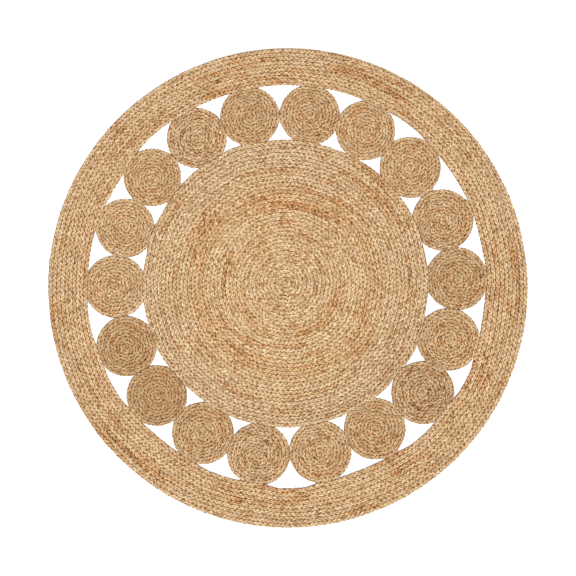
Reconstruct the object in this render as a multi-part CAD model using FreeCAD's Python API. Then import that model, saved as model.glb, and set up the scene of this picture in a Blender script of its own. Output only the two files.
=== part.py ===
import FreeCAD, Part
import math
import os

# Round braided rug: a coiled centre medallion, a ring of small coiled rosettes round
# it, and a wide coiled border. Millimetres, +Z up. The origin is the middle of the
# underside, on the floor. +X and +Y lie along the floor.

# Overall sizes
RUG_DIAMETER = 1524.0          # over the border's outer edge
BORDER_WIDTH = 126.5           # from the rug's outer edge to the border's inner edge
THICKNESS = 9.0                # a flat braid as it lies on the floor

# The ring of rosettes
ROSETTE_COUNT = 18
FIRST_BEARING = 1.5            # degrees, anticlockwise from +X, at the middle of rosette 1
FLATTENING = 0.948             # a rosette's width along the radius over its width round the ring
PRESS = 2.5                    # how far the round coil is pressed flat at its loosest contact
CLEARANCE = 0.3                # between two coils that lie against each other

# Hand-laid unevenness: the medallion and the border's inner edge are a little off centre,
# and each rosette is swung round the ring (degrees) and pushed in or out (mm).
MEDALLION_CENTRE = (-6.5, 14.0)
BORDER_HOLE_CENTRE = (-2.5, 7.5)
SWING = (0.0, 0.5, 1.5, 1.0, 0.5, 0.5, 0.0, 0.0, -0.5, -0.5, 0.0, -0.5, -0.5, -0.5, 0.0, 0.0, 0.0, -0.5)
PUSH = (-9.0, -9.0, -4.0, 5.0, 0.0, 4.0, 0.0, 0.0, -3.0, -3.0, 0.0, -3.0, -4.0, 2.0, -5.0, -8.0, 8.0, -2.0)

# Braids
BRAID_WIDTH = 12.1             # one turn of the medallion or of the border
ROSETTE_BRAID_WIDTH = 10.6     # one turn of a rosette
CROWN = 1.4                    # how far a turn's middle stands above the seams beside it

# Sewing thread in the seam between turns, seen from below
THREAD_SIZE = 1.2              # width and height
THREAD_CLEARANCE = 0.2         # on each side of the thread in its seam
THREAD_LIFT = 0.4              # from the floor to the thread
THREAD_START_TURNS = 1.0       # turns from the middle of a coil to where its sewing starts

# Joining stitches, short runs of thicker thread across the line where two coils meet
STITCH_LENGTH = 14.0
STITCH_WIDTH = 2.4
STITCH_HEIGHT = 1.8
STITCH_CLEARANCE = 0.2         # round the stitch in the notch that it has pulled into the braid
STITCH_SPACING = 12.0
STITCHES_PER_JOIN = 3


def at(x, y, z=0.0):
    return FreeCAD.Vector(x, y, z)


def save(node, shape):
    shape.exportStep(os.path.join("parts", node + ".step"))


def round_plate(centre, radius, low, high):
    return Part.makeCylinder(radius, high - low, at(*centre, low))


def coil_body(centre, inner, outer, braid, plain=0):
    """A coil with a flat underside and one crowned row on top for each turn of the braid.

    A coil with no hole has a round dome over its middle, where the braid starts. A plain
    band along a hole is left flat, for an edge that is not round the same centre.
    """
    seam = THICKNESS - CROWN
    rows = max(2, round((outer - inner - plain) / braid))
    row = (outer - inner - plain) / rows
    domed = inner == 0
    edges = [Part.LineSegment(at(inner, 0, 0), at(outer, 0, 0)),
             Part.LineSegment(at(outer, 0, 0), at(outer, 0, seam))]
    for i in range(rows - 1 if domed else rows):
        start = outer - i * row
        end = outer - (i + 1) * row
        edges.append(Part.Arc(at(start, 0, seam), at((start + end) / 2, 0, THICKNESS), at(end, 0, seam)))
    if domed:
        across = row ** 2 / (2 * CROWN) + CROWN / 2
        half_way = math.asin(row / across) / 2
        through = at(across * math.sin(half_way), 0, THICKNESS - across * (1 - math.cos(half_way)))
        edges.append(Part.Arc(at(row, 0, seam), through, at(0, 0, THICKNESS)))
        edges.append(Part.LineSegment(at(0, 0, THICKNESS), at(0, 0, 0)))
    else:
        if plain:
            edges.append(Part.LineSegment(at(inner + plain, 0, seam), at(inner, 0, seam)))
        edges.append(Part.LineSegment(at(inner, 0, seam), at(inner, 0, 0)))
    face = Part.Face(Part.Wire([edge.toShape() for edge in edges]))
    body = face.revolve(at(0, 0, 0), at(0, 0, 1), 360)
    body.translate(at(*centre))
    return body


def spiral_strip(centre, first, pitch, turns, width, low, high):
    """A spiral of half circles, each half a pitch larger than the last, with a square section."""
    sides = []
    for side in (-1, 1):
        arcs = []
        for k in range(2 * turns):
            middle = at(pitch / 4 if k % 2 else -pitch / 4, 0, low)
            radius = first + k * pitch / 2 + side * width / 2
            circle = Part.Circle(middle, at(0, 0, 1), radius)
            arcs.append(Part.ArcOfCircle(circle, k * math.pi, (k + 1) * math.pi).toShape())
        sides.append(arcs)
    ends = [Part.makeLine(sides[0][0].Vertexes[0].Point, sides[1][0].Vertexes[0].Point),
            Part.makeLine(sides[0][-1].Vertexes[-1].Point, sides[1][-1].Vertexes[-1].Point)]
    outline = Part.Wire(Part.__sortEdges__(sides[0] + sides[1] + ends))
    strip = Part.Face(outline).extrude(at(0, 0, high - low))
    strip.translate(at(*centre))
    return strip


def thread_and_seam(centre, first, pitch, turns):
    """A coil's sewing thread, and the seam that it lies in, cut up from the underside."""
    top = THREAD_LIFT + THREAD_SIZE
    thread = spiral_strip(centre, first, pitch, turns, THREAD_SIZE, THREAD_LIFT, top)
    seam_width = THREAD_SIZE + 2 * THREAD_CLEARANCE
    seam = spiral_strip(centre, first, pitch, turns, seam_width, -1, top + THREAD_CLEARANCE)
    return thread, seam


def bar(middle, bearing, length, width, low, high):
    """A square bar along a bearing in degrees, centred on a point."""
    box = Part.makeBox(length, width, high - low, at(-length / 2, -width / 2, low))
    box.rotate(at(0, 0, 0), at(0, 0, 1), bearing)
    box.translate(at(*middle))
    return box


def join(middle, bearing):
    """The stitches across one contact between two coils, and the notches they lie in."""
    stitches = []
    notches = []
    for i in range(STITCHES_PER_JOIN):
        along = (i - (STITCHES_PER_JOIN - 1) / 2) * STITCH_SPACING
        x = middle[0] - along * math.sin(math.radians(bearing))
        y = middle[1] + along * math.cos(math.radians(bearing))
        top = THREAD_LIFT + STITCH_HEIGHT
        stitches.append(bar((x, y), bearing, STITCH_LENGTH, STITCH_WIDTH, THREAD_LIFT, top))
        notches.append(bar((x, y), bearing, STITCH_LENGTH + 2 * STITCH_CLEARANCE,
                           STITCH_WIDTH + 2 * STITCH_CLEARANCE, -1, top + STITCH_CLEARANCE))
    return stitches, notches


def circle_reach(bearing, circle_centre, radius, start):
    """How far along a bearing from a start point a circle round that point is met."""
    ux, uy = math.cos(math.radians(bearing)), math.sin(math.radians(bearing))
    dx, dy = start[0] - circle_centre[0], start[1] - circle_centre[1]
    along = dx * ux + dy * uy
    return -along + math.sqrt(along ** 2 - (dx ** 2 + dy ** 2 - radius ** 2))


def between(a, b):
    """Distance and bearing in degrees from a to b."""
    return math.dist(a, b), math.degrees(math.atan2(b[1] - a[1], b[0] - a[0]))


# Places: the rosettes fill the ring between the medallion and the border's inner edge
hole_radius = RUG_DIAMETER / 2 - BORDER_WIDTH
half_step = math.sin(math.pi / ROSETTE_COUNT)
ring_radius = hole_radius / (1 + FLATTENING * half_step)
medallion_radius = ring_radius * (1 - FLATTENING * half_step)

centres = []
for i in range(ROSETTE_COUNT):
    bearing = FIRST_BEARING + i * 360 / ROSETTE_COUNT + SWING[i % len(SWING)]
    inside = medallion_radius
    outside = circle_reach(bearing, BORDER_HOLE_CENTRE, hole_radius, MEDALLION_CENTRE)
    distance = (inside + outside) / 2 + PUSH[i % len(PUSH)]
    centres.append((MEDALLION_CENTRE[0] + distance * math.cos(math.radians(bearing)),
                    MEDALLION_CENTRE[1] + distance * math.sin(math.radians(bearing))))

side_joins = []
medallion_joins = []
border_joins = []
for i in range(ROSETTE_COUNT):
    here, following = centres[i], centres[(i + 1) % ROSETTE_COUNT]
    gap, bearing = between(here, following)
    side_joins.append((((here[0] + following[0]) / 2, (here[1] + following[1]) / 2), bearing))
    gap, bearing = between(MEDALLION_CENTRE, here)
    medallion_joins.append(((MEDALLION_CENTRE[0] + medallion_radius * math.cos(math.radians(bearing)),
                             MEDALLION_CENTRE[1] + medallion_radius * math.sin(math.radians(bearing))), bearing))
    gap, bearing = between(BORDER_HOLE_CENTRE, here)
    border_joins.append(((BORDER_HOLE_CENTRE[0] + hole_radius * math.cos(math.radians(bearing)),
                          BORDER_HOLE_CENTRE[1] + hole_radius * math.sin(math.radians(bearing))), bearing))

side_stitches, side_notches = zip(*[join(*place) for place in side_joins])
medallion_stitches, medallion_notches = zip(*[join(*place) for place in medallion_joins])
border_stitches, border_notches = zip(*[join(*place) for place in border_joins])


def flat(groups):
    return [shape for group in groups for shape in group]


def medallion():
    """The centre coil, and its sewing thread."""
    rows = round(medallion_radius / BRAID_WIDTH)
    pitch = medallion_radius / rows
    thread, seam = thread_and_seam(MEDALLION_CENTRE, THREAD_START_TURNS * pitch, pitch, rows - 3)
    body = coil_body(MEDALLION_CENTRE, 0, medallion_radius - CLEARANCE / 2, pitch)
    body = body.cut(Part.makeCompound([seam] + flat(medallion_notches)))
    return body, thread


def border():
    """The wide outer coil, its hole a little off centre, and its sewing thread."""
    rim = RUG_DIAMETER / 2
    stray = math.hypot(*BORDER_HOLE_CENTRE)
    rows = math.floor((BORDER_WIDTH - stray) / BRAID_WIDTH)
    inner = hole_radius - 2 * stray
    body = coil_body((0, 0), inner, rim, BRAID_WIDTH, rim - rows * BRAID_WIDTH - inner)
    hole = round_plate(BORDER_HOLE_CENTRE, hole_radius + CLEARANCE / 2, -1, THICKNESS + 1)
    notched_to = hole_radius + stray + STITCH_LENGTH / 2 + BRAID_WIDTH / 2
    turns = math.floor((rim - BRAID_WIDTH - notched_to) / BRAID_WIDTH)
    first = rim - (turns + 1.25) * BRAID_WIDTH
    thread, seam = thread_and_seam((0, 0), first, BRAID_WIDTH, turns)
    body = body.cut(Part.makeCompound([hole, seam] + flat(border_notches)))
    return body, thread


def rosette(i):
    """One small coil, pressed flat against its two neighbours, the medallion and the border."""
    centre = centres[i]
    sides = [between(centre, centres[i - 1]), between(centre, centres[(i + 1) % ROSETTE_COUNT])]
    reaches = [gap / 2 for gap, bearing in sides]
    reaches.append(math.dist(centre, MEDALLION_CENTRE) - medallion_radius)
    reaches.append(hole_radius - math.dist(centre, BORDER_HOLE_CENTRE))
    free = max(reaches) + PRESS
    body = coil_body(centre, 0, free, ROSETTE_BRAID_WIDTH)
    for gap, bearing in sides:
        middle = (gap + free) / 2 - CLEARANCE / 2
        place = (centre[0] + middle * math.cos(math.radians(bearing)),
                 centre[1] + middle * math.sin(math.radians(bearing)))
        body = body.cut(bar(place, bearing, free, 2 * free, -1, THICKNESS + 1))
    body = body.cut(round_plate(MEDALLION_CENTRE, medallion_radius + CLEARANCE / 2, -1, THICKNESS + 1))
    body = body.common(round_plate(BORDER_HOLE_CENTRE, hole_radius - CLEARANCE / 2, -1, THICKNESS + 1))
    inscribed = min(reaches)
    turns = math.floor((inscribed - STITCH_LENGTH / 2) / ROSETTE_BRAID_WIDTH - THREAD_START_TURNS - 0.5)
    thread, seam = thread_and_seam(centre, THREAD_START_TURNS * ROSETTE_BRAID_WIDTH, ROSETTE_BRAID_WIDTH, turns)
    notches = list(side_notches[i - 1] + side_notches[i] + medallion_notches[i] + border_notches[i])
    return body.cut(Part.makeCompound([seam] + notches)), thread


os.makedirs("parts", exist_ok=True)

body, thread = medallion()
save("centre_medallion", body)
save("medallion_sewing_thread", thread)

body, thread = border()
save("outer_border", body)
save("border_sewing_thread", thread)

threads = []
for i in range(ROSETTE_COUNT):
    body, thread = rosette(i)
    save("rosette_%02d" % (i + 1), body)
    threads.append(thread)
save("rosette_sewing_threads", Part.makeCompound(threads))

save("rosette_to_rosette_stitches", Part.makeCompound(flat(side_stitches)))
save("rosette_to_medallion_stitches", Part.makeCompound(flat(medallion_stitches)))
save("rosette_to_border_stitches", Part.makeCompound(flat(border_stitches)))
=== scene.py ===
import math

import bpy
import numpy as np
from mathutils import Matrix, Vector
from mathutils.bvhtree import BVHTree


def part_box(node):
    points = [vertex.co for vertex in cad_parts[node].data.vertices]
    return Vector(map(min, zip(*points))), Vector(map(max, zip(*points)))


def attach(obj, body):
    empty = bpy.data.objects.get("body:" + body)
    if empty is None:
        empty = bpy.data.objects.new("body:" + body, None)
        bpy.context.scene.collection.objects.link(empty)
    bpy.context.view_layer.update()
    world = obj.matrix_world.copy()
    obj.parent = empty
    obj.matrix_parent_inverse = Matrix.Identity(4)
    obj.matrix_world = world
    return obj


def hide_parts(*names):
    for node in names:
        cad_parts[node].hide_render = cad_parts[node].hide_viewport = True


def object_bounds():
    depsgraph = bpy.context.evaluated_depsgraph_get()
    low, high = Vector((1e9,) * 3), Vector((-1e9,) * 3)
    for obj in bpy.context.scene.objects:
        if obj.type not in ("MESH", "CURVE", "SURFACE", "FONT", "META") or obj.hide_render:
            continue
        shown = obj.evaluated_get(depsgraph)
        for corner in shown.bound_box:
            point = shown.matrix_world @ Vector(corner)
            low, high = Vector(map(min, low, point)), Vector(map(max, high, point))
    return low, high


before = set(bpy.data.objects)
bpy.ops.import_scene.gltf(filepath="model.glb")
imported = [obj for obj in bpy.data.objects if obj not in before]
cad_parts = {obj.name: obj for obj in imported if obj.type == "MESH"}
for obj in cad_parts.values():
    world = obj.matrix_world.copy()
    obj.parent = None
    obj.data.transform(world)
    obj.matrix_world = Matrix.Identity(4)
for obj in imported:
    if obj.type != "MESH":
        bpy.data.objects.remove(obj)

bpy.context.view_layer.update()
cad_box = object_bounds()

# ---------------------------------------------------------------------------
# The camera looks straight down at the middle of the rug, with +Y at the top. It is high
# enough to leave a margin of floor all round the border.
# ---------------------------------------------------------------------------
rug_low, rug_high = cad_box
rug_width = rug_high.x - rug_low.x
rug_top = rug_high.z
MARGIN = 1.201                 # width of what the camera sees over the rug's width
CAMERA_HEIGHT = 6.0            # over the top of the rug
SENSOR_WIDTH = 36.0            # in millimetres, as lenses are

camera_data = bpy.data.cameras.new("camera")
camera_data.sensor_width = SENSOR_WIDTH
camera_data.lens = SENSOR_WIDTH * CAMERA_HEIGHT / (MARGIN * rug_width)
camera_data.clip_end = 100.0
camera = bpy.data.objects.new("camera", camera_data)
camera.location = (0, 0, rug_top + CAMERA_HEIGHT)
bpy.context.scene.collection.objects.link(camera)
bpy.context.scene.camera = camera


# ---------------------------------------------------------------------------
# The centre medallion: about 54 m of flat braid, plaited from three soft strands of
# jute and wound into one flat spiral. Each turn lies tight against the last one.
# ---------------------------------------------------------------------------
TURN_STEPS = 360               # points round one turn where a spiral is worked out
TAIL = 0.3                     # share of a turn over which a braid's end is thinned out
HELD_TURNS = 4                 # turns next to an outline that keep parallel to it
THINNEST = 0.03                # where a tail is cut off, over the braid's width
UNEVEN = 0.0005                # how far a turn strays in or out
WAVES = 4                      # uneven waves that run round the turns, laid over each other
WAVES_PER_TURN = (3, 9)        # how many of one wave fit round a turn: 3 to 8
WAVE_DRIFT = (-5, 5)           # how far a wave has moved round by the last turn, in radians
ANY_BEARING = (0, 6.28)        # a bearing picked at random, in radians


def look(node, centre, hole=False):
    """How far it is from a point to the rim of a coil's plate, or to its hole, at each degree."""
    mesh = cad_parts[node].data
    tree = BVHTree.FromPolygons([v.co for v in mesh.vertices], [p.vertices for p in mesh.polygons])
    low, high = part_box(node)
    height = (low.z + high.z) / 2
    far = (high - low).length
    middle = Vector((centre[0], centre[1], height))
    reach = []
    for degree in range(360):
        away = Vector((math.cos(math.radians(degree)), math.sin(math.radians(degree)), 0))
        if hole:
            hit = tree.ray_cast(middle, away)[3]
        else:
            hit = far - tree.ray_cast(middle + far * away, -away)[3]
        reach.append(hit)
    return np.array(reach)


def softened(reach, degrees):
    """An outline with its corners rounded, because a braid bends gently round them."""
    spread = np.arange(-degrees, degrees + 1)
    weight = 1 + np.cos(np.pi * spread / (degrees + 1))
    return sum(w * np.roll(reach, s) for w, s in zip(weight, spread)) / weight.sum()


def eased(x):
    """A smooth step: 0 up to x = 0, and 1 from x = 1 on."""
    x = np.clip(x, 0, 1)
    return x * x * (3 - 2 * x)


def off_bearing(bearing):
    """How many degrees each degree of an outline is from a bearing."""
    return np.abs((np.arange(360) - bearing + 180) % 360 - 180)


def pulled(reach, bearings, pulls, spread):
    """An outline let out or taken in at some bearings, and left alone between them.

    A pull is whole over spread degrees, and dies out in as many again on each side.
    """
    for bearing, pull in zip(bearings, pulls):
        reach = reach + pull * eased(1.5 - off_bearing(bearing) / spread)
    return reach


def wander(count, strays, rng):
    """A smooth uneven line of count values round 0: how far it strays, and how often it turns."""
    amount, spacing = strays
    knots = rng.normal(0, 1, int(count / spacing) + 3)
    place = np.arange(count) / spacing
    k = place.astype(int)
    blend = eased(place - k)
    return amount * (knots[k] * (1 - blend) + knots[k + 1] * blend)


def wound(centre, inner, outer, turns, start, rng):
    """The middle line of a braid wound between two outlines, with its width at each point.

    The first and last turns keep to the outlines: they step over by one braid's width in a
    short stretch, where the braid's end is thinned. Between them the spiral is even.
    """
    hollow = inner is not None

    def wound_by(t):
        """How many turns lie inside the braid's outer edge, t turns along it."""
        whole = np.floor(t)
        stepped = whole + eased((t - whole - 1 + TAIL) / TAIL)
        even = t - (1 - TAIL) / 2
        at_start = eased(1 - (t - 1) / HELD_TURNS) if hollow else 0 * t
        hold = np.maximum(eased(1 - (turns - t) / HELD_TURNS), at_start)
        return np.clip(hold * stepped + (1 - hold) * even, 0, turns)

    t = np.arange(int((turns + 1) * TURN_STEPS) + 1) / TURN_STEPS
    before, after = wound_by(t - 1), wound_by(t)
    keep = after - before > THINNEST
    t, before, after = t[keep], before[keep] / turns, after[keep] / turns
    bearing = start + 2 * np.pi * t
    degree = np.degrees(bearing) % 360
    across = np.arange(361)
    rim = np.interp(degree, across, np.append(outer, outer[0]))
    waves = [(rng.integers(*WAVES_PER_TURN), rng.uniform(*ANY_BEARING), rng.uniform(*WAVE_DRIFT))
             for _ in range(WAVES)]

    def reach(share):
        """How far out the braid's edge is, at a share of the way from the first turn to the last."""
        uneven = sum(np.sin(m * bearing + at + drift * share) for m, at, drift in waves)
        uneven = uneven * UNEVEN * 4 * share * (1 - share)    # none at the outlines, most half-way
        if hollow:
            hole = np.interp(degree, across, np.append(inner, inner[0]))
            return hole + (rim - hole) * share + uneven
        round_rim = outer.mean()
        return round_rim * share + (rim - round_rim) * share ** 3 + uneven

    near, far = reach(before), reach(after)
    middle = (near + far) / 2
    x, y = centre[0] + middle * np.cos(bearing), centre[1] + middle * np.sin(bearing)
    return {"points": np.stack([x, y], 1), "width": far - near, "centre": centre, "near": near,
            "bearing": bearing, "turn": t, "share": np.clip((t - (1 - TAIL) / 2) / turns, 0, 1)}


STEPS_PER_PLAIT = 14           # rings of points along one full crossing of the three strands
SIDES = 8                      # points round a strand
STRAND_WIDTH = 0.53            # a strand's width over its braid's width
STRAND_HEIGHT = 0.60           # a strand's height over its braid's height
SQUEEZE = 0.10                 # how far a braid's edge is pushed in between its neighbour's lobes
GROWTH = 1.3                   # how much sooner than at the last turn the lobes have their full length
CORNER = 0.12                  # how squarely a strand turns at the braid's edge
CROSSING = 1.15                # how high a strand climbs over the next one, over the room for it
PROUD = 1.03                   # how high a strand's top may stand, over the braid's height
SPOOL = 90                     # length of the jute that a strand is taken from, anywhere along it

# how far hand work strays, as a share, and the points along the braid from one change to the next
LOBE_STRAYS = (0.09, 25)       # the length of a lobe
SHORTEST, LONGEST = 0.8, 1.25  # the least and the most of its length that a lobe may have
SWING_STRAYS = (0.10, 22)      # how far on the whole plait is, in crossings
LAG_STRAYS = (0.18, 9)         # how far on one strand is, in radians
THICK_STRAYS = (0.10, 6)       # a strand's thickness from lobe to lobe
LONG_STRAYS = (0.06, 40)       # and over a longer run
TALL_STRAYS = (0.04, 6)        # a strand's height
SIDE_STRAYS = (0.07, 7)        # how far out a strand turns


def crosswise(line):
    """The level direction and the rising one square to a line, at each of its points."""
    along = np.gradient(line, axis=0)
    along /= np.linalg.norm(along, axis=1)[:, None]
    flat = np.stack([along[:, 1], -along[:, 0], 0 * along[:, 0]], 1)
    flat /= np.linalg.norm(flat, axis=1)[:, None]
    return flat, np.cross(flat, along)


def travelled(line):
    """How far along a line each of its points is."""
    return np.append(0, np.cumsum(np.linalg.norm(np.diff(line, axis=0), axis=1)))


def strands(path, height, lobe_start, lobe_end, rng):
    """Three strands plaited flat along a wound path: their rings of points, one set each."""
    points = path["points"]
    step = np.hypot(*np.diff(points, axis=0).T)
    length = np.append(0, np.cumsum(step))
    lobe = lobe_start + (lobe_end - lobe_start) * eased(path["share"] * GROWTH)
    lobe = lobe * np.clip(1 + wander(len(lobe), LOBE_STRAYS, rng), SHORTEST, LONGEST)
    cycles = np.append(0, np.cumsum(step / (3 * lobe[:-1])))
    count = int(cycles[-1] * STEPS_PER_PLAIT)
    phase = np.linspace(0, cycles[-1], count)
    s = np.interp(phase, cycles, length)
    x, y = np.interp(s, length, points[:, 0]), np.interp(s, length, points[:, 1])
    half = np.interp(s, length, path["width"]) / 2
    turn = np.interp(s, length, path["turn"])
    share = np.interp(s, length, path["share"])
    dx, dy = np.gradient(x), np.gradient(y)
    run = np.hypot(dx, dy)
    out = np.stack([dy / run, -dx / run], 1)
    swing = 2 * np.pi * (phase + wander(count, SWING_STRAYS, rng))
    turned = 2 * np.pi * np.arange(SIDES) / SIDES + np.pi / SIDES - np.pi / 2
    made = []
    for strand in range(3):
        angle = swing + 2 * np.pi * strand / 3 + wander(count, LAG_STRAYS, rng)
        thick = 1 + wander(count, THICK_STRAYS, rng) + wander(count, LONG_STRAYS, rng)
        round_half = STRAND_WIDTH * half * thick
        tall = STRAND_HEIGHT / 2 * height * (1 + wander(count, TALL_STRAYS, rng))
        edge = (1 + SQUEEZE - STRAND_WIDTH) * half / (1 - CORNER)
        side = edge * (np.sin(angle) + CORNER * np.sin(3 * angle))
        side = side * (1 + wander(count, SIDE_STRAYS, rng))
        lift = height / 2 + (height / 2 - tall) * CROSSING * np.sin(2 * angle)
        lift = np.clip(lift, tall, height * PROUD - tall)
        line = np.stack([x + out[:, 0] * side, y + out[:, 1] * side, lift], 1)
        flat, up = crosswise(line)
        rings = (line[:, None, :]
                 + flat[:, None, :] * (round_half[:, None] * np.cos(turned))[:, :, None]
                 + up[:, None, :] * (tall[:, None] * np.sin(turned))[:, :, None])
        aside = (rings[:, :, 0] - x[:, None]) * out[:, :1] + (rings[:, :, 1] - y[:, None]) * out[:, 1:]
        made.append({"rings": rings, "along": travelled(line) + rng.uniform(0, SPOOL), "turn": turn,
                     "share": share, "girth": np.pi * (round_half + tall),
                     "edge": np.abs(aside) / half[:, None]})
    return made


MAP_GAP = 0.04                 # space beside a run in the folded map, over the run's width
MAP_SHAPE = 1.6                # how much longer than wide the folded map's cells are
END_SPOT = (0.01, 0.965)       # corner of the spot in the map's last row for all the tubes' ends
SPOT_RADIUS = 0.01


def folded(cell, columns, folds, sides, j):
    """The corners of each face of a run in a map where the whole length is folded into rows."""
    fold, column = cell // columns, cell % columns
    left, right = column / columns, (column + 1) / columns
    low = (fold + MAP_GAP + (1 - 2 * MAP_GAP) * j / sides) / (folds + 1)
    high = (fold + MAP_GAP + (1 - 2 * MAP_GAP) * (j + 1) / sides) / (folds + 1)
    across = np.stack([left, right, right, left], 1)
    along = np.stack([low, low, high, high], 1)
    return np.stack([across, along], 2).reshape(-1, 2)


def tubes(name, parts):
    """One mesh of closed tubes. Each part is a run of rings, with where it lies along its strand."""
    places, loops, starts, totals, fibre, baked, shares, edges = [], [], [], [], [], [], [], []
    first = corner = cell = 0
    sides = parts[0]["rings"].shape[1]
    around = np.arange(sides)
    cells = [len(part["rings"]) - 1 for part in parts]
    folds = max(1, round(math.sqrt(sum(cells) / sides / MAP_SHAPE)))
    columns = math.ceil(sum(cells) / folds) + 1
    disc = around * 2 * np.pi / sides
    spot = END_SPOT + SPOT_RADIUS * (1 + np.stack([np.cos(disc), np.sin(disc)], 1))
    for part, count in zip(parts, cells):
        places.append(part["rings"].reshape(-1, 3))
        shares.append(np.repeat(part["share"], sides))
        edges.append(part["edge"].ravel())
        i = np.repeat(np.arange(count), sides)
        j = np.tile(around, count)
        after = (j + 1) % sides
        ring, next_ring = first + i * sides, first + (i + 1) * sides
        quads = np.stack([ring + j, next_ring + j, next_ring + after, ring + after], 1)
        loops.append(quads.ravel())
        starts.append(corner + 4 * np.arange(len(quads)))
        totals.append(np.full(len(quads), 4))
        corner += 4 * len(quads)
        here, there = part["along"][i], part["along"][i + 1]
        skin = part["girth"][i] / sides
        lengthwise = np.stack([here, there, there, here], 1)
        girthwise = skin[:, None] * np.stack([j, j, j + 1, j + 1], 1)
        fibre.append(np.stack([lengthwise, girthwise], 2).reshape(-1, 2))
        baked.append(folded(cell + i, columns, folds, sides, j))
        cell += count
        last = first + count * sides
        loops.append(np.concatenate([first + around, last + around[::-1]]))
        starts.append(corner + np.array([0, sides]))
        totals.append(np.array([sides, sides]))
        corner += 2 * sides
        fibre.append(np.array([[part["along"][0], 0.0]] * sides + [[part["along"][-1], 0.0]] * sides))
        baked.append(spot.repeat(2, 0))
        first = last + sides
    places, loops = np.concatenate(places), np.concatenate(loops)
    starts, totals = np.concatenate(starts), np.concatenate(totals)
    mesh = bpy.data.meshes.new(name)
    mesh.vertices.add(len(places))
    mesh.vertices.foreach_set("co", places.astype(np.float32).ravel())
    mesh.loops.add(len(loops))
    mesh.loops.foreach_set("vertex_index", loops.astype(np.int32))
    mesh.polygons.add(len(starts))
    mesh.polygons.foreach_set("loop_start", starts.astype(np.int32))
    mesh.polygons.foreach_set("loop_total", totals.astype(np.int32))
    mesh.polygons.foreach_set("use_smooth", np.ones(len(starts), bool))
    for layer, corners in (("OFBake", baked), ("fibre", fibre)):
        added = mesh.uv_layers.new(name=layer)
        added.uv.foreach_set("vector", np.concatenate(corners).astype(np.float32).ravel())
    # how near each point is to the rug's top or bottom face, 0 at mid-height: the jute's painted shade
    # in the hollows reads it
    middle = rug_top / 2
    face = np.abs(places[:, 2] - middle) / middle
    for attribute, values in (("across", np.concatenate(shares)), ("edge", np.concatenate(edges)),
                              ("face", face)):
        added = mesh.attributes.new(attribute, "FLOAT", "POINT")
        added.data.foreach_set("value", values.astype(np.float32))
    mesh.update(calc_edges=True)
    piece = bpy.data.objects.new(name, mesh)
    bpy.context.scene.collection.objects.link(piece)
    return piece


def stretch(strand, low, high):
    """The part of a strand between two turns. It keeps the ring at each end, so runs meet."""
    ends = np.flatnonzero((strand["turn"] >= low) & (strand["turn"] < high))
    picked = slice(ends[0], ends[-1] + 2)
    return {key: strand[key][picked] for key in ("rings", "along", "share", "girth", "edge")}


def turn_ends(turn, turns):
    """Where one turn's piece starts and stops. The first and the last take the braid's tails too."""
    return turn if turn else -1, turn + 1 if turn < turns - 1 else turns + 2


class Value:
    """A socket whose number can be used in sums, which adds the Math nodes."""

    def __init__(self, tree, socket):
        self.tree, self.socket = tree, socket

    def maths(self, operation, *values):
        added = self.tree.add("ShaderNodeMath", {"operation": operation})
        for i, value in enumerate(values):
            self.tree.put(added.inputs[i], value)
        return Value(self.tree, added.outputs[0])

    def __add__(self, other):
        return self.maths("ADD", self, other)

    def __sub__(self, other):
        return self.maths("SUBTRACT", self, other)

    def __mul__(self, other):
        return self.maths("MULTIPLY", self, other)

    def __radd__(self, other):
        return self.maths("ADD", other, self)

    def __rsub__(self, other):
        return self.maths("SUBTRACT", other, self)

    def __rmul__(self, other):
        return self.maths("MULTIPLY", other, self)

    def between(self, low, high):
        """0 below low, 1 above high, and a smooth step from one to the other."""
        added = self.tree.add("ShaderNodeMapRange", {"interpolation_type": "SMOOTHSTEP"},
                              {"From Min": low, "From Max": high})
        self.tree.put(added.inputs["Value"], self)
        return Value(self.tree, added.outputs["Result"])


class Finish:
    """A material, built node by node."""

    def __init__(self, name):
        self.material = bpy.data.materials.new(name)
        self.material.use_nodes = True
        self.nodes = self.material.node_tree.nodes
        self.shader = self.nodes["Principled BSDF"]

    def put(self, socket, value):
        """Links a value to a socket, or sets the socket where the value is plain."""
        if isinstance(value, Value):
            value = value.socket
        if isinstance(value, bpy.types.NodeSocket):
            self.material.node_tree.links.new(value, socket)
        else:
            socket.default_value = value

    def add(self, kind, settings=None, inputs=None):
        """A node of a kind, with its settings set first and then its sockets."""
        added = self.nodes.new(kind)
        for key, setting in (settings or {}).items():
            if key == "stops":
                ramp = added.color_ramp
                while len(ramp.elements) < len(setting):
                    ramp.elements.new(0.5)
                for element, (place, colour) in zip(ramp.elements, setting):
                    element.position, element.color = place, colour
            else:
                setattr(added, key, setting)
        for key, value in (inputs or {}).items():
            self.put(added.inputs[key], value)
        return added

    def mark(self, name):
        """The number of that name which the mesh holds at each point."""
        return Value(self, self.add("ShaderNodeAttribute", {"attribute_name": name}).outputs["Fac"])

    def noise(self, place, scale, detail, rough):
        added = self.add("ShaderNodeTexNoise", {}, {"Vector": place, "Scale": scale, "Detail": detail,
                                                    "Roughness": rough})
        return Value(self, added.outputs["Fac"])

    def stretched(self, place, x, y):
        """A place on the strand, stretched so that a noise there is long or short along x and y."""
        added = self.add("ShaderNodeVectorMath", {"operation": "MULTIPLY"}, {0: place, 1: (x, y, 1.0)})
        return added.outputs[0]

    def mixed(self, share, one, other, blend="MIX"):
        """One colour with a share of another mixed in, or multiplied into it.

        The sockets go by number, because the node has one of each name for each kind of value.
        """
        added = self.add("ShaderNodeMix", {"data_type": "RGBA", "blend_type": blend})
        self.put(added.inputs[0], share)
        self.put(added.inputs[6], one)
        self.put(added.inputs[7], other)
        return added.outputs[2]


PALE_STRETCH = (1.03, 1.05, 1.06, 1)      # tints of a coil's paler and rustier stretches
RUSTY_STRETCH = (0.97, 0.84, 0.69, 1)
PAINTED_HOLLOW_SHADE = (0.57, 0.39, 0.21, 1)      # painted shade for the plait's hollows and painted light for its tops
PAINTED_TOP_LIGHT = (1.04, 1.04, 1.04, 1)
WHITE = (1, 1, 1, 1)


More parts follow.
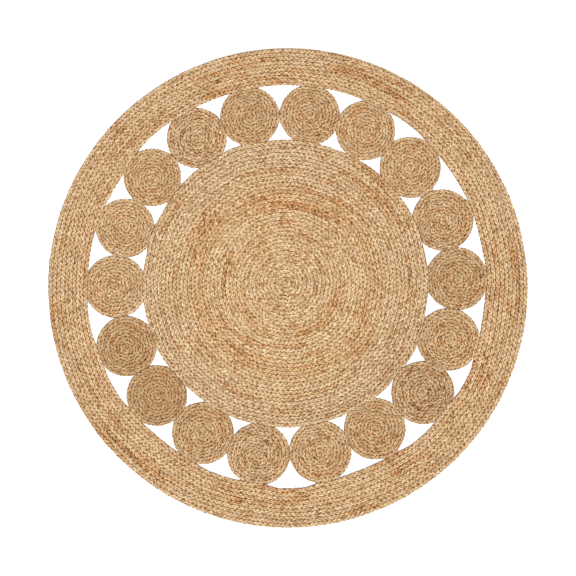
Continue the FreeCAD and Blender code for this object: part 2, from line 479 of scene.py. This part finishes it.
def jute(name, colours, seam, patches, streaks, flecks, lots=None):
    """Dry jute: pale fibres in soft bundles, with golden and brown lengths and dark flecks of bark.

    seam is the painted shade along the braid's two edges, where one turn meets the next, and patches is
    how many times the fibre changes along the coil. The nearer streaks and flecks are to 1, the cleaner
    it is. lots are the tints of the batches of jute that the coil goes through, from its start to its
    end.
    """
    pale, golden, brown, amber, bark = colours
    finish = Finish(name)
    fibre = finish.add("ShaderNodeUVMap", {"uv_map": "fibre"}).outputs["UV"]
    spread, depth, edge = finish.mark("across"), finish.mark("face"), finish.mark("edge")

    # unevenness from coarse to fine, each longer along the fibre than across it
    patch = finish.noise(spread * patches, 1.0, 2.0, 0.6)
    bundle = finish.noise(finish.stretched(fibre, 1.0, 0.0), 5.0, 2.0, 0.6)
    length = finish.noise(finish.stretched(fibre, 1.0, 5.0), 27.0, 2.0, 0.55)
    lobe = finish.noise(finish.stretched(fibre, 1.0, 1.5), 62.0, 1.0, 0.5)
    wisps = finish.noise(finish.stretched(fibre, 0.8, 4.0), 75.0, 4.0, 0.70)
    bark_spots = finish.noise(finish.stretched(fibre, 1.0, 2.2), 100.0, 1.0, 0.5)
    hairs = finish.noise(finish.stretched(fibre, 0.5, 12.0), 130.0, 2.0, 0.6)

    # the fibre's own colour, with amber lengths
    tone = (wisps - 0.5) * 2.6 + (hairs - 0.5) * 1.7 + (lobe - 0.5) * 0.7
    tone = tone + (bundle - 0.5) * 0.4 + (patch - 0.5) * 0.5 + 0.575
    fibres = finish.add("ShaderNodeValToRGB", {"stops": ((0.10, brown), (0.42, golden), (0.90, pale))},
                        {"Fac": tone}).outputs["Color"]
    streaked = (length + (patch - 0.5) * 0.45).between(streaks, streaks + 0.08)
    colour = finish.mixed(streaked * 0.8, fibres, amber)

    # the stretches and lots that it was picked from
    rusty = finish.mixed(patch.between(0.50, 0.66), PALE_STRETCH, RUSTY_STRETCH)
    colour = finish.mixed(1.0, colour, rusty, "MULTIPLY")
    if lots:
        uneven = spread + (patch - 0.5) * 0.12
        tint = finish.add("ShaderNodeValToRGB", {"stops": lots}, {"Fac": uneven}).outputs["Color"]
        colour = finish.mixed(1.0, colour, tint, "MULTIPLY")

    # flecks of bark in clusters, painted shade in the hollows and along the seams, painted light on the
    # tops
    spotted = (bark_spots + (patch - 0.5) * 0.60).between(flecks, flecks + 0.05)
    colour = finish.mixed(spotted * 0.85, colour, bark)
    # painted shade: darker towards mid-height, in the hollows between lobes, and a little lighter on
    # the tops
    top = (depth + (lobe - 0.5) * 1.1).between(0.08, 0.85)
    colour = finish.mixed(1.0, colour, finish.mixed(top, PAINTED_HOLLOW_SHADE, PAINTED_TOP_LIGHT), "MULTIPLY")
    # painted shade along each braid's two edges, where one turn lies against the next
    sewn = edge.between(0.70, 1.12)
    colour = finish.mixed(1.0, colour, finish.mixed(sewn, WHITE, seam), "MULTIPLY")

    finish.put(finish.shader.inputs["Base Color"], colour)
    finish.shader.inputs["Roughness"].default_value = 0.85
    finish.shader.inputs["Specular IOR Level"].default_value = 0.25
    bump = finish.add("ShaderNodeBump", {}, {"Strength": 0.7, "Distance": 0.0008,
                                             "Height": wisps + 0.7 * hairs})
    finish.put(finish.shader.inputs["Normal"], bump.outputs["Normal"])
    return finish.material


MEDALLION_TURNS = 38
MEDALLION_LOBES = (0.0112, 0.0140)   # length of one lobe of the plait, at the middle and at the rim
MEDALLION_START = 0.8                # bearing of the braid's first end, in radians
MEDALLION_HAND = 11                  # picks the random strays of this coil
SOFTENED = 3                         # degrees each way over which its outline is rounded
# how far the outside turns bulge or draw in at the gaps between the rosettes, and where
RIM_BEARINGS = (12, 33, 53, 72, 92, 111, 131, 150, 170, 191, 210, 230, 251, 271, 291, 312, 331, 351)
RIM_PULLS = (-0.003, 0.001, 0.001, -0.001, 0.001, 0.006, 0.002, -0.003, -0.003, 0.000, 0.003, -0.001,
             0.002, 0.002, 0.002, 0.005, 0.006, -0.003)
RIM_SPREAD = 5                       # degrees
# pale, golden, brown and amber fibre, and bark
MEDALLION_JUTE = ((0.675, 0.535, 0.35, 1), (0.415, 0.26, 0.127, 1), (0.19, 0.08, 0.022, 1),
                  (0.41, 0.195, 0.066, 1), (0.06, 0.03, 0.015, 1))
# painted shade along the seams between the turns
SEAM_PAINTED_SHADE = (0.66, 0.49, 0.34, 1)
# tints of the jute from the middle of the coil to its rim
MEDALLION_LOTS = (
    (0.00, (0.83, 0.85, 0.88, 1)), (0.08, (1.03, 1.03, 1.02, 1)), (0.33, (1.03, 1.03, 1.02, 1)),
    (0.38, (0.99, 0.92, 0.83, 1)), (0.43, (1.03, 1.04, 1.03, 1)), (0.54, (1.03, 1.03, 1.02, 1)),
    (0.60, (0.97, 0.89, 0.79, 1)), (0.66, (0.99, 0.94, 0.88, 1)), (0.72, (1.00, 1.00, 1.00, 1)),
    (1.00, (0.96, 0.96, 0.97, 1)))

low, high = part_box("centre_medallion")
medallion_middle = ((low.x + high.x) / 2, (low.y + high.y) / 2)
medallion_rim = softened(look("centre_medallion", medallion_middle), SOFTENED)
medallion_rim = pulled(medallion_rim, RIM_BEARINGS, RIM_PULLS, RIM_SPREAD)
rng = np.random.default_rng(MEDALLION_HAND)
medallion_path = wound(medallion_middle, None, medallion_rim, MEDALLION_TURNS, MEDALLION_START, rng)
medallion_strands = strands(medallion_path, high.z, *MEDALLION_LOBES, rng)
medallion_finish = jute("medallion_jute", MEDALLION_JUTE, SEAM_PAINTED_SHADE, patches=160.0, streaks=0.575,
                        flecks=0.645, lots=MEDALLION_LOTS)
for turn in range(MEDALLION_TURNS):
    ends = turn_ends(turn, MEDALLION_TURNS)
    piece = tubes("medallion_turn_%02d" % (turn + 1), [stretch(s, *ends) for s in medallion_strands])
    piece.data.materials.append(medallion_finish)
    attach(piece, "root")
    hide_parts("centre_medallion")


# ---------------------------------------------------------------------------
# The medallion's sewing thread: a waxed jute twine on the underside that zigzags from turn
# to turn along the whole seam, and holds the coil flat.
# ---------------------------------------------------------------------------
ZIGZAG_STEP = 0.004            # from one needle hole to the next
ZIGZAG_REACH = 0.0012          # how far a needle hole is from the seam
THREAD_RADIUS = 0.0006
THREAD_SIDES = 5
THREAD_HEIGHT = 0.0010         # the middle of the thread over the floor
FIRST_SEAM = 1.5               # how many turns a coil has before its first seam is sewn


def thread_rings(line, radius, sides):
    """Rings of points round a bent line, for a thread or a loop."""
    flat, up = crosswise(line)
    turned = 2 * np.pi * np.arange(sides) / sides
    rings = (line[:, None, :] + radius * (flat[:, None, :] * np.cos(turned)[None, :, None]
                                          + up[:, None, :] * np.sin(turned)[None, :, None]))
    along = travelled(line)
    return {"rings": rings, "along": along, "share": 0 * along,
            "girth": np.full(len(line), 2 * np.pi * radius), "edge": np.zeros(rings.shape[:2])}


def seam_thread(name, path, first_turn, last_turn):
    """A zigzag thread along the seam between a coil's turns, from where the first seam starts."""
    sewn = (path["turn"] > first_turn) & (path["turn"] < last_turn)
    near, bearing = path["near"][sewn], path["bearing"][sewn]
    length = np.append(0, np.cumsum(near[:-1] * np.diff(bearing)))
    count = int(length[-1] / ZIGZAG_STEP)
    holes = np.arange(count) * ZIGZAG_STEP
    side = ZIGZAG_REACH * (-1) ** np.arange(count)
    reach = np.interp(holes, length, near) + side
    turned = np.interp(holes, length, bearing)
    x, y = path["centre"][0] + reach * np.cos(turned), path["centre"][1] + reach * np.sin(turned)
    line = np.stack([x, y, np.full(count, THREAD_HEIGHT)], 1)
    return tubes(name, [thread_rings(line, THREAD_RADIUS, THREAD_SIDES)])


def twine(name, colour, dark):
    """Plied twine: pale strands twisted together, with painted shade in the grooves between them."""
    finish = Finish(name)
    fibre = finish.add("ShaderNodeUVMap", {"uv_map": "fibre"}).outputs["UV"]
    plies = finish.add("ShaderNodeTexWave", {"wave_type": "BANDS", "bands_direction": "DIAGONAL"},
                       {"Vector": finish.stretched(fibre, 1.0, 1.6), "Scale": 140.0, "Distortion": 0.6})
    plies = Value(finish, plies.outputs["Fac"])
    hairs = finish.noise(finish.stretched(fibre, 1.0, 4.0), 400.0, 2.0, 0.6)
    # painted shade in the grooves between the plies
    colour = finish.mixed(plies.between(0.05, 0.6), dark, colour)
    colour = finish.mixed(1.0, colour, 0.7 + 0.6 * hairs, "MULTIPLY")
    finish.put(finish.shader.inputs["Base Color"], colour)
    finish.shader.inputs["Roughness"].default_value = 0.8
    finish.shader.inputs["Specular IOR Level"].default_value = 0.3
    bump = finish.add("ShaderNodeBump", {}, {"Strength": 0.5, "Distance": 0.0003, "Height": plies})
    finish.put(finish.shader.inputs["Normal"], bump.outputs["Normal"])
    return finish.material


# pale twine, and the painted shade of its grooves
seam_twine = twine("seam_twine", (0.62, 0.49, 0.33, 1), (0.33, 0.23, 0.13, 1))
piece = seam_thread("medallion_seam_thread", medallion_path, FIRST_SEAM, MEDALLION_TURNS)
piece.data.materials.append(seam_twine)
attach(piece, "root")
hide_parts("medallion_sewing_thread")


# ---------------------------------------------------------------------------
# The border: about 46 m of the same braid wound in ten turns round the rosettes, sewn
# turn to turn. Its hole is a little off the centre of its outer edge.
# ---------------------------------------------------------------------------
BORDER_TURNS = 10
BORDER_LOBES = (0.0141, 0.0141)      # length of one lobe, at the hole and at the outer edge
BORDER_START = 2.1                   # bearing of the braid's first end, in radians
BORDER_HAND = 12                     # picks the random strays of this coil
# how far the border's inside edge is let out or drawn in at the gaps between the rosettes
GAP_BEARINGS = (14, 34, 54, 74, 93, 112, 131, 150, 169, 190, 210, 230, 250, 271, 292, 312, 332, 353)
GAP_PULLS = (-0.004, -0.001, 0.005, 0.003, 0.002, 0.001, 0.005, -0.006, -0.001, 0.003, 0.004, -0.003,
             0.004, 0.010, -0.004, 0.007, 0.008, -0.005)
GAP_SPREAD = 6                       # degrees
BORDER_JUTE = ((0.64, 0.50, 0.33, 1), (0.42, 0.27, 0.135, 1), (0.19, 0.08, 0.022, 1),
               (0.40, 0.19, 0.066, 1), (0.05, 0.025, 0.012, 1))
BORDER_LOTS = (
    (0.00, (1.04, 1.03, 1.02, 1)), (0.18, (0.97, 0.93, 0.89, 1)), (0.28, (1.03, 1.02, 1.00, 1)),
    (0.42, (0.96, 0.92, 0.88, 1)), (0.50, (1.02, 1.02, 1.00, 1)), (0.60, (0.95, 0.91, 0.87, 1)),
    (0.70, (1.02, 1.02, 1.01, 1)), (0.80, (0.94, 0.90, 0.86, 1)), (0.90, (0.97, 0.96, 0.95, 1)))

border_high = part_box("outer_border")[1]
border_rim = look("outer_border", (0, 0))
border_hole = pulled(look("outer_border", (0, 0), hole=True), GAP_BEARINGS, GAP_PULLS, GAP_SPREAD)
rng = np.random.default_rng(BORDER_HAND)
border_path = wound((0, 0), border_hole, border_rim, BORDER_TURNS, BORDER_START, rng)
border_strands = strands(border_path, border_high.z, *BORDER_LOBES, rng)
border_finish = jute("border_jute", BORDER_JUTE, SEAM_PAINTED_SHADE, patches=110.0, streaks=0.565, flecks=0.65,
                     lots=BORDER_LOTS)
for turn in range(BORDER_TURNS):
    ends = turn_ends(turn, BORDER_TURNS)
    piece = tubes("border_turn_%02d" % (turn + 1), [stretch(s, *ends) for s in border_strands])
    piece.data.materials.append(border_finish)
    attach(piece, "root")
    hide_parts("outer_border")


# ---------------------------------------------------------------------------
# The border's sewing thread: the same waxed twine, zigzagged along the seam between the ten
# turns on the underside. It starts where the second turn lies beside the first.
# ---------------------------------------------------------------------------
piece = seam_thread("border_seam_thread", border_path, 2 - TAIL / 2, BORDER_TURNS)
piece.data.materials.append(seam_twine)
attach(piece, "root")
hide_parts("border_sewing_thread")


# ---------------------------------------------------------------------------
# The rosettes: each is 2.7 m of a slightly narrower braid wound in nine turns by hand, pressed
# flat where it meets its neighbours, the medallion and the border, and sewn with a thread
# of its own. No two are quite alike.
# ---------------------------------------------------------------------------
ROSETTE_TURNS = 9
ROSETTE_LOBES = (0.0118, 0.0128)     # length of one lobe, at the middle and at the rim
ROSETTE_HAND = 100                   # picks the random strays of the first, and so on
ROSETTE_SOFTENED = 4                 # degrees each way over which an outline is rounded
PRESSED_ARC = 12                     # degrees each way over which a neighbour presses one flat
ROSETTE_JUTE = ((0.57, 0.42, 0.26, 1), (0.38, 0.225, 0.10, 1), (0.175, 0.072, 0.020, 1),
                (0.36, 0.165, 0.054, 1), (0.045, 0.022, 0.011, 1))
# painted shade along the seams between a rosette's turns
ROSETTE_SEAM_PAINTED_SHADE = (0.45, 0.32, 0.23, 1)
BROWNING = (1, 1.3, 1.8)             # a darker rosette loses more green than red, and most blue

# how far each rosette reaches where nothing presses on it, how bright its jute is, and how
# clean it is of bark flecks, from the first rosette round to the last
ROSETTE_LOOKS = (
    (0.0995, 1.00, 0.62), (0.0970, 1.04, 0.63), (0.0970, 1.04, 0.70), (0.0942, 1.04, 0.69),
    (0.0952, 1.02, 0.65), (0.0938, 1.00, 0.66), (0.0952, 1.08, 0.61), (0.0912, 1.03, 0.70),
    (0.0932, 1.07, 0.71), (0.1000, 1.07, 0.66), (0.0952, 0.94, 0.66), (0.0962, 0.91, 0.70),
    (0.0982, 1.04, 0.65), (0.1000, 1.08, 0.61), (0.0985, 1.06, 0.65), (0.0975, 1.00, 0.67),
    (0.1000, 1.01, 0.585), (0.1005, 1.03, 0.64))

rosettes = sorted(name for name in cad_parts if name.removeprefix("rosette_").isdigit())
for i, (node, (free, bright, clean)) in enumerate(zip(rosettes, ROSETTE_LOOKS)):
    rng = np.random.default_rng(ROSETTE_HAND + i)
    low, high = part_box(node)
    middle = ((low.x + high.x) / 2, (low.y + high.y) / 2)
    bearings = [math.atan2(middle[1], middle[0])]
    for other in (rosettes[i - 1], rosettes[(i + 1) % len(rosettes)], "centre_medallion"):
        other_low, other_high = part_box(other)
        to = (other_low + other_high) / 2
        bearings.append(math.atan2(to.y - middle[1], to.x - middle[0]))
    held = np.zeros(360)
    for bearing in bearings:
        held = np.maximum(held, eased(1.6 - off_bearing(math.degrees(bearing)) / PRESSED_ARC))
    pressed = look(node, middle)
    rim = softened(pressed * held + np.minimum(pressed, free) * (1 - held), ROSETTE_SOFTENED)
    path = wound(middle, None, rim, ROSETTE_TURNS, rng.uniform(*ANY_BEARING), rng)
    tint = [bright ** power for power in BROWNING]
    colours = [tuple(t * c for t, c in zip(tint, colour)) + (1,) for colour in ROSETTE_JUTE]
    finish = jute(node + "_jute", colours, ROSETTE_SEAM_PAINTED_SHADE, patches=24.0, streaks=0.565,
                  flecks=clean + 0.01)
    for letter, strand in zip("abc", strands(path, high.z, *ROSETTE_LOBES, rng)):
        piece = tubes(node + "_strand_" + letter, [strand])
        piece.data.materials.append(finish)
        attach(piece, "root")
        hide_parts(node)

    piece = seam_thread(node + "_seam_thread", path, FIRST_SEAM, ROSETTE_TURNS)
    piece.data.materials.append(seam_twine)
    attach(piece, "root")
    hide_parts("rosette_sewing_threads")


# ---------------------------------------------------------------------------
# The stitches that join the coils: three loops of doubled twine at each place where a rosette
# meets its neighbour, the medallion or the border, all on the underside.
# ---------------------------------------------------------------------------
CORNERS_PER_STITCH = 24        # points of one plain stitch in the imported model
LOOP_POINTS = 20               # points round a loop
LOOP_RADIUS = 0.0006           # of its twine
LOOP_SIDES = 6
LOOP_SQUARE = 1.25             # how squarely a loop turns at its two ends
LOOP_SLOPE = 0.8               # how much of its height it rises and falls by


def loops(name, node):
    """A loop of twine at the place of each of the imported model's plain stitches."""
    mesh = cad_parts[node].data
    corners = np.empty(3 * len(mesh.vertices))
    mesh.vertices.foreach_get("co", corners)
    turned = 2 * np.pi * np.arange(LOOP_POINTS + 1) / LOOP_POINTS
    parts = []
    for box in corners.reshape(-1, CORNERS_PER_STITCH, 3):
        middle = (box.min(0) + box.max(0)) / 2
        aside = box[:, :2] - middle[:2]
        axes = np.linalg.svd(aside)[2]
        long, wide = (np.abs(aside @ axis).max() for axis in axes)
        tall = (box[:, 2].max() - box[:, 2].min()) / 2
        lengthwise = (long - LOOP_RADIUS) * np.clip(LOOP_SQUARE * np.cos(turned), -1, 1)
        sideways = (wide - LOOP_RADIUS) * np.sin(turned)
        height = middle[2] + (tall - LOOP_RADIUS) * LOOP_SLOPE * np.sin(2 * turned)
        flat = middle[:2] + lengthwise[:, None] * axes[0] + sideways[:, None] * axes[1]
        parts.append(thread_rings(np.column_stack([flat, height]), LOOP_RADIUS, LOOP_SIDES))
    return tubes(name, parts)


for name, node in (("rosette_to_rosette_twine", "rosette_to_rosette_stitches"),
                   ("rosette_to_medallion_twine", "rosette_to_medallion_stitches"),
                   ("rosette_to_border_twine", "rosette_to_border_stitches")):
    piece = loops(name, node)
    piece.data.materials.append(seam_twine)
    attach(piece, "root")
    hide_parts(node)


# ---------------------------------------------------------------------------
# The room: a plain white floor, soft light from all round, and one large soft window high on
# one side, which gives the plait its shading.
# ---------------------------------------------------------------------------
FLOOR_SIZE = 60.0
FLOOR_WHITE = (0.95, 0.95, 0.95, 1)
ROOM_LIGHT = 0.85
WINDOW_LIGHT = 2.9
WINDOW_SIZE = 20               # degrees, as seen from the rug
WINDOW_LEAN = 24               # degrees from straight overhead
WINDOW_TURN = 35               # degrees round the rug to the side where it stands

floor_mesh = bpy.data.meshes.new("floor")
half = FLOOR_SIZE / 2
floor_corners = [(-half, -half, 0), (half, -half, 0), (half, half, 0), (-half, half, 0)]
floor_mesh.from_pydata(floor_corners, [], [(0, 1, 2, 3)])
floor = bpy.data.objects.new("floor", floor_mesh)
bpy.context.scene.collection.objects.link(floor)
floor_finish = Finish("floor")
floor_finish.shader.inputs["Base Color"].default_value = FLOOR_WHITE
floor_finish.shader.inputs["Roughness"].default_value = 0.9
floor_mesh.materials.append(floor_finish.material)

world = bpy.data.worlds.new("room")
world.use_nodes = True
world.node_tree.nodes["Background"].inputs["Color"].default_value = WHITE
world.node_tree.nodes["Background"].inputs["Strength"].default_value = ROOM_LIGHT
bpy.context.scene.world = world

sun_data = bpy.data.lights.new("window", "SUN")
sun_data.energy = WINDOW_LIGHT
sun_data.angle = math.radians(WINDOW_SIZE)
sun = bpy.data.objects.new("window", sun_data)
sun.rotation_euler = (math.radians(WINDOW_LEAN), 0, math.radians(WINDOW_TURN))
bpy.context.scene.collection.objects.link(sun)

bpy.context.scene.view_settings.view_transform = "Standard"
bpy.context.scene.view_settings.look = "None"
